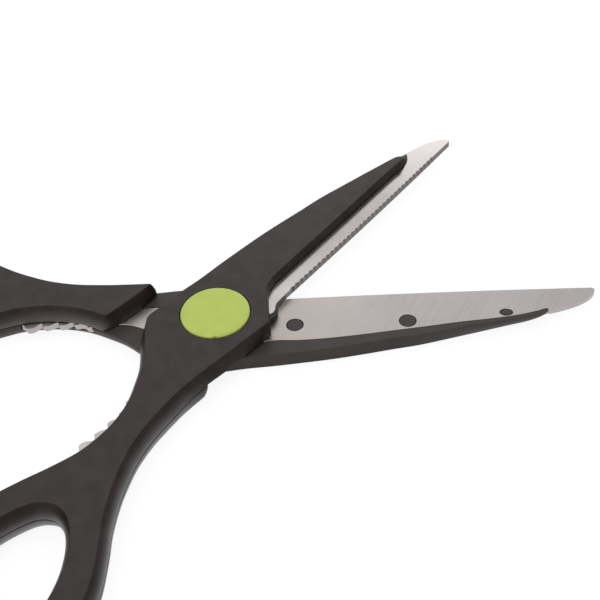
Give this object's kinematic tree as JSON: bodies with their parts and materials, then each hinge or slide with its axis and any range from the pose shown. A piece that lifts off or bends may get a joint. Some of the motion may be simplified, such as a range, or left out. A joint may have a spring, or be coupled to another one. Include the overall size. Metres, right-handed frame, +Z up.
{
  "type": "multipurpose scissors",
  "caption": "Kitchen scissors with black moulded handles over steel blades, a finely toothed edge, nutcracker teeth in the handles and a round green pivot cap, lying open.",
  "frame": {"origin": "on the pivot's axis, in the plane that the scissors rest on, at the centre of the nut's outer face", "axes": "+X along the middle of the open blades to the tips, +Z up along the pivot's axis, +Y to the upper blade's side"},
  "size_m": [0.21, 0.1644, 0.0107],
  "materials": {
    "blade_steel": "finely brushed, matt on the outer strip",
    "black_plastic": "satin moulded",
    "green_plastic": "satin moulded",
    "screw_steel": "turned, bright",
    "white_plastic": "moulded bearing plastic"
  },
  "bodies": {
    "lower_half": {"lower_blade": "blade_steel", "lower_outer_shell": "black_plastic", "lower_inner_shell": "black_plastic", "pivot_nut": "screw_steel", "pivot_screw": "screw_steel", "pivot_bush": "white_plastic", "wave_washer": "screw_steel"},
    "upper_half": {"upper_blade": "blade_steel", "upper_outer_shell": "black_plastic", "upper_inner_shell": "black_plastic", "pivot_cap": "green_plastic"}
  },
  "joints": [
    {"name": "pivot", "type": "hinge", "parent": "lower_half", "child": "upper_half", "pos_m": [0, 0, 0], "axis": [0, 0, 1], "range_deg": [-42.5, 55]}
  ]
}
